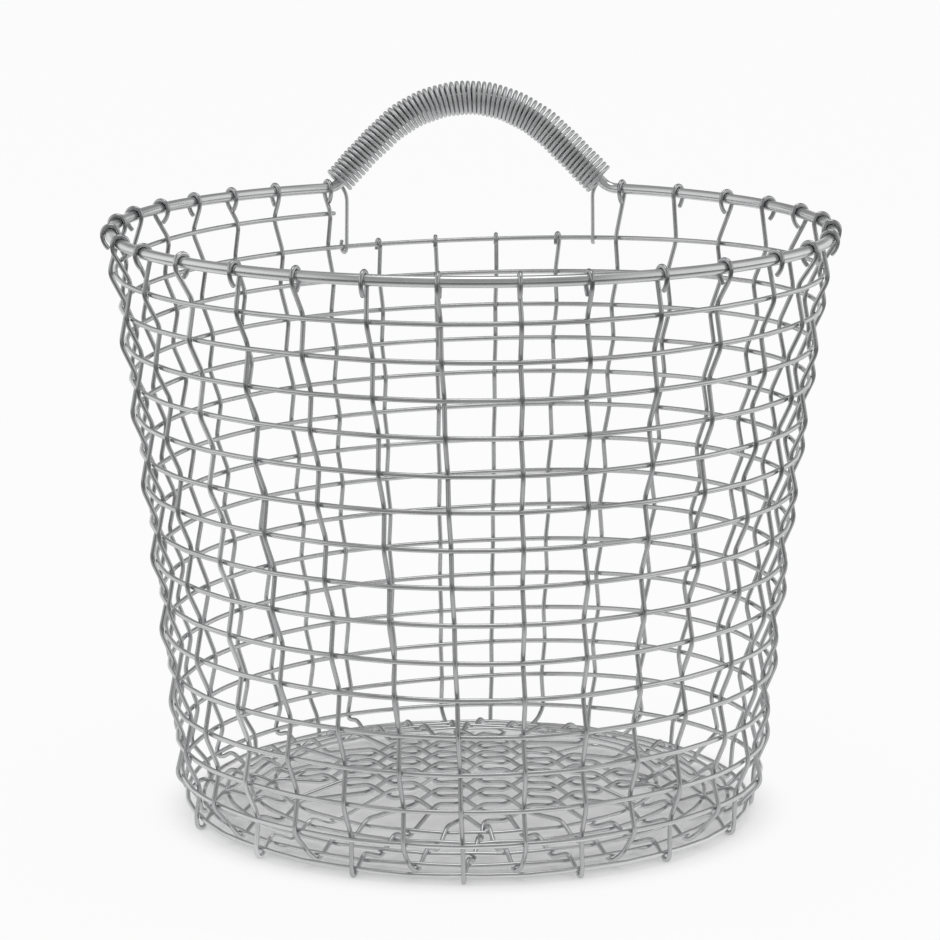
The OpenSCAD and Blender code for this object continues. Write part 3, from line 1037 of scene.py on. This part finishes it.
def axis_point(s):
    spare = s - math.radians(axis_angle(s)) * ARCH_CROWN_R
    off = sum(height * swell(s - at, width) for height, at, width in (COIL_BULGE, COIL_SINK))
    return CROWN_CENTRE + (ARCH_CROWN_R + off - COIL_SAG) * axis_up(s) + spare * axis_run(s)


def coil_point(s):
    a = 90 - 360 * COIL_TURNS * (s - COIL_FROM) / (COIL_TO - COIL_FROM)
    less = COIL_TAPER / (1 + math.exp((s - COIL_TAPER_FROM) / COIL_TAPER_RUN))
    less += COIL_BREATH * (1 - sin(a / COIL_BREATH_TURNS))
    up = (COIL_R - less) * cos(a) * axis_up(s)
    back = (COIL_DEEP_R - less) * sin(a) * ARCH_BACK
    return axis_point(s) + up + back


def coil_leg(s):
    """A leg of the winding from its cut end up: the left one for -1, and the right one for 1."""
    az = LEFT_LEG_AZ if s < 0 else RIGHT_LEG_AZ
    row = spiral_at(1, az)
    reach = WEFT_D / 2 + COIL_WIRE_D / 2 + TOUCH
    # both legs curl to the left: the left one is a whole loop, and the right one stops under the row
    step = math.degrees(LEG_HOOK_STEP / row[0])
    points = []
    depth = reach * SHORT_LEG_DEPTH
    if s < 0:
        depth = LEG_LOOP_DEPTH
        for aside, out, up in LEG_HOOK_TAIL:
            tail_r = row[0] + reach * out
            points.append(polar(az + step * aside, tail_r, row[1] + LEG_HOOK_RISE * up))
    for n in range(0 if s < 0 else SHORT_LEG_FROM, HOOK_STEPS + 1):
        t = 180 * n / HOOK_STEPS
        turned = az + step * (1 - t / 180)
        points.append(polar(turned, row[0] + reach * cos(t), row[1] - depth * sin(t)))
    last = points[-1]
    end = coil_point(COIL_FROM if s < 0 else COIL_TO)
    way = arch_way(-s * sin(ARCH_SLOPE), -cos(ARCH_SLOPE))
    meet = end + (last[0] - end[0]) / way[0] * way
    below = meet + unit(last - meet) * np.linalg.norm(meet - end)
    points.append(last + np.array([0, 0, COIL_WIRE_D]))
    return points + curve(below, meet, end, LEG_STEPS)


def winding():
    places = np.linspace(COIL_FROM, COIL_TO, COIL_TURNS * COIL_RINGS + 1)
    # each leg's last point is the coil's first or last one
    left = coil_leg(-1)[:-1]
    right = coil_leg(1)[-2::-1]
    points = left + [coil_point(s) for s in places] + right
    sides = [-sideways(LEFT_LEG_AZ)] * len(left)
    sides += [axis_run(s) for s in places]
    sides += [-sideways(RIGHT_LEG_AZ)] * len(right)
    wound = tube("handle_winding", points, sides, COIL_WIRE_D, WIRE_SIDES)
    dress(wound, "winding_wire", winding_steel, "handle_coil")


winding()

# Floor, backdrop and light

# Sizes in metres. A span is two values and what becomes of them, with a smooth change between.
FLOOR_R = 14.0
FLOOR_CORNERS = 96
FLOOR_TONE = (0.8, 0.8, 0.8, 1)

# The ground is white round the basket, and under it the lit grey floor with its real shadow shows:
# painted shade, a darker disc under the basket
GROUND_WHITE = 0.88
WHITE_PAST_PAINTED_SHADE = (0.125, 0.165, 0.0, GROUND_WHITE)

# The metal sees a white table that ends in front and at the sides, and darker ground past it: tones
# by the distance from the table's middle, by how far behind, and by how far away
TABLE_MIDDLE = (0, 0.25, 0)
TABLE_NARROWS = (0.65, 1, 1)
TABLE = (0.3, 0.92, 0.95, 0.06)
GROUND_BEHIND = (0.25, 1.2, 0.0, 1.0)
GROUND_FAR = (1.5, 3.0, 0.0, 0.5)

# The metal sees a white wall low down at the back, a light ceiling, light walls at the sides, and a
# darker room between them and in front, by the parts of a direction
ROOM_TONE = 0.37
WALL_LOW = (0.06, 0.34, 1.0, 0.0)
WALL_BEHIND = (-0.6, 0.1, 0.1, 1.0)
CEILING = (0.9, 0.99, 0.0, 0.8)
SIDE_WALLS = (0.45, 0.9, 0.0, 0.85)

# The light on the floor, and the lamp over the basket, which points at its middle
SOFT_LIGHT = 0.9
LAMP_AT = (0.1, 0.0, 2.6)
LAMP_SIZE = 1.5
LAMP_WATTS = 6.5
LAMP_AIM = (0, 0, 0.15)


def rays_that_see(tree):
    """Rays that see the white background, camera and transmission rays, and the glossy rays."""
    rays = node(tree, "ShaderNodeLightPath").outputs
    sees = math_node(tree, "MAXIMUM", rays["Is Camera Ray"], rays["Is Transmission Ray"])
    return sees, rays["Is Glossy Ray"]


def show_white(tree, shader, tone, glossy):
    """White for all rays apart from the glossy ones, which see the tone."""
    darker = math_node(tree, "SUBTRACT", tone, 1.0)
    seen = math_node(tree, "MULTIPLY_ADD", darker, glossy, 1.0)
    tree.links.new(seen, shader.inputs["Color"])


def mix_shaders(tree, share, first, second, surface):
    mix = node(tree, "ShaderNodeMixShader")
    tree.links.new(share, mix.inputs[0])
    tree.links.new(first.outputs[0], mix.inputs[1])
    tree.links.new(second.outputs[0], mix.inputs[2])
    tree.links.new(mix.outputs[0], surface)


def floor():
    mesh = bpy.data.meshes.new("floor")
    turns = [2 * math.pi * n / FLOOR_CORNERS for n in range(FLOOR_CORNERS)]
    ring = [(FLOOR_R * math.cos(a), FLOOR_R * math.sin(a), 0.0) for a in turns]
    mesh.from_pydata(ring, [], [list(range(FLOOR_CORNERS))])
    piece = put("floor", mesh)
    material = bpy.data.materials.new("floor_white")
    material.use_nodes = True
    material.cycles.emission_sampling = "NONE"
    tree = material.node_tree
    shader = tree.nodes["Principled BSDF"]
    socket(shader, "Base Color", FLOOR_TONE)
    socket(shader, "Roughness", 0.9)
    socket(shader, "Specular IOR Level", 0.0)

    place = node(tree, "ShaderNodeTexCoord").outputs["Object"]
    away = node(tree, "ShaderNodeVectorMath", operation="LENGTH")
    tree.links.new(place, away.inputs[0])
    # painted shade: the ground turns white only past the basket's foot, so a darker disc stays under
    # it
    past_painted_shade = smooth_range(tree, away.outputs["Value"], WHITE_PAST_PAINTED_SHADE)

    narrowed = node(tree, "ShaderNodeMapping")
    socket(narrowed, "Scale", TABLE_NARROWS)
    tree.links.new(place, narrowed.inputs["Vector"])
    from_table = node(tree, "ShaderNodeVectorMath", operation="DISTANCE")
    tree.links.new(narrowed.outputs["Vector"], from_table.inputs[0])
    from_table.inputs[1].default_value = TABLE_MIDDLE
    tone = smooth_range(tree, from_table.outputs["Value"], TABLE)
    behind = smooth_range(tree, split(tree, place)["Y"], GROUND_BEHIND)
    tone = math_node(tree, "MAXIMUM", tone, behind)
    far = smooth_range(tree, away.outputs["Value"], GROUND_FAR)
    tone = math_node(tree, "MAXIMUM", tone, far)

    sees, glossy = rays_that_see(tree)
    seen = node(tree, "ShaderNodeEmission")
    show_white(tree, seen, tone, glossy)
    white = math_node(tree, "MULTIPLY", sees, past_painted_shade)
    share = math_node(tree, "MULTIPLY_ADD", glossy, GROUND_WHITE, white)
    mix_shaders(tree, share, shader, seen, tree.nodes["Material Output"].inputs["Surface"])
    mesh.materials.append(material)


def world():
    made = bpy.data.worlds.new("studio")
    bpy.context.scene.world = made
    made.use_nodes = True
    made.cycles.sampling_method = "NONE"
    tree = made.node_tree
    tree.nodes.clear()
    out = node(tree, "ShaderNodeOutputWorld")
    # what lights the floor
    soft = node(tree, "ShaderNodeBackground")
    socket(soft, "Color", (1, 1, 1, 1))
    socket(soft, "Strength", SOFT_LIGHT)

    parts = split(tree, node(tree, "ShaderNodeTexCoord").outputs["Generated"])
    low = smooth_range(tree, parts["Z"], WALL_LOW)
    behind = smooth_range(tree, parts["Y"], WALL_BEHIND)
    light = math_node(tree, "MULTIPLY", low, behind)
    ceiling = smooth_range(tree, parts["Z"], CEILING)
    light = math_node(tree, "MAXIMUM", light, ceiling)
    aside = smooth_range(tree, math_node(tree, "ABSOLUTE", parts["X"]), SIDE_WALLS)
    light = math_node(tree, "MAXIMUM", light, aside)
    tone = math_node(tree, "MULTIPLY_ADD", light, 1 - ROOM_TONE, ROOM_TONE)

    sees, glossy = rays_that_see(tree)
    seen = node(tree, "ShaderNodeBackground")
    socket(seen, "Strength", 1.0)
    show_white(tree, seen, tone, glossy)
    share = math_node(tree, "MAXIMUM", sees, glossy)
    mix_shaders(tree, share, soft, seen, out.inputs["Surface"])


def lamp():
    data = bpy.data.lights.new("top_light", "AREA")
    data.shape = "DISK"
    data.size = LAMP_SIZE
    data.energy = LAMP_WATTS
    piece = put("top_light", data)
    piece.location = LAMP_AT
    way = np.array(LAMP_AIM) - np.array(LAMP_AT)
    level = math.acos(-way[2] / np.linalg.norm(way))
    piece.rotation_euler = (level, 0, math.atan2(way[1], way[0]) - math.pi / 2)


floor()
world()
lamp()

# Camera, at the photograph's angle

camera_data = bpy.data.cameras.new("camera")
camera_data.sensor_width = SENSOR_MM
camera_data.lens = FOCAL_PX / IMAGE_PX * SENSOR_MM
camera_data.shift_x = -SHIFT_PX / IMAGE_PX
camera_data.clip_end = 100.0
camera = put("camera", camera_data)
camera.location = (0, -CAMERA_BACK * MM, CAMERA_UP * MM)
camera.rotation_euler = (math.radians(90 - CAMERA_TILT), 0, 0)
bpy.context.scene.camera = camera
bpy.context.scene.view_settings.view_transform = "Standard"
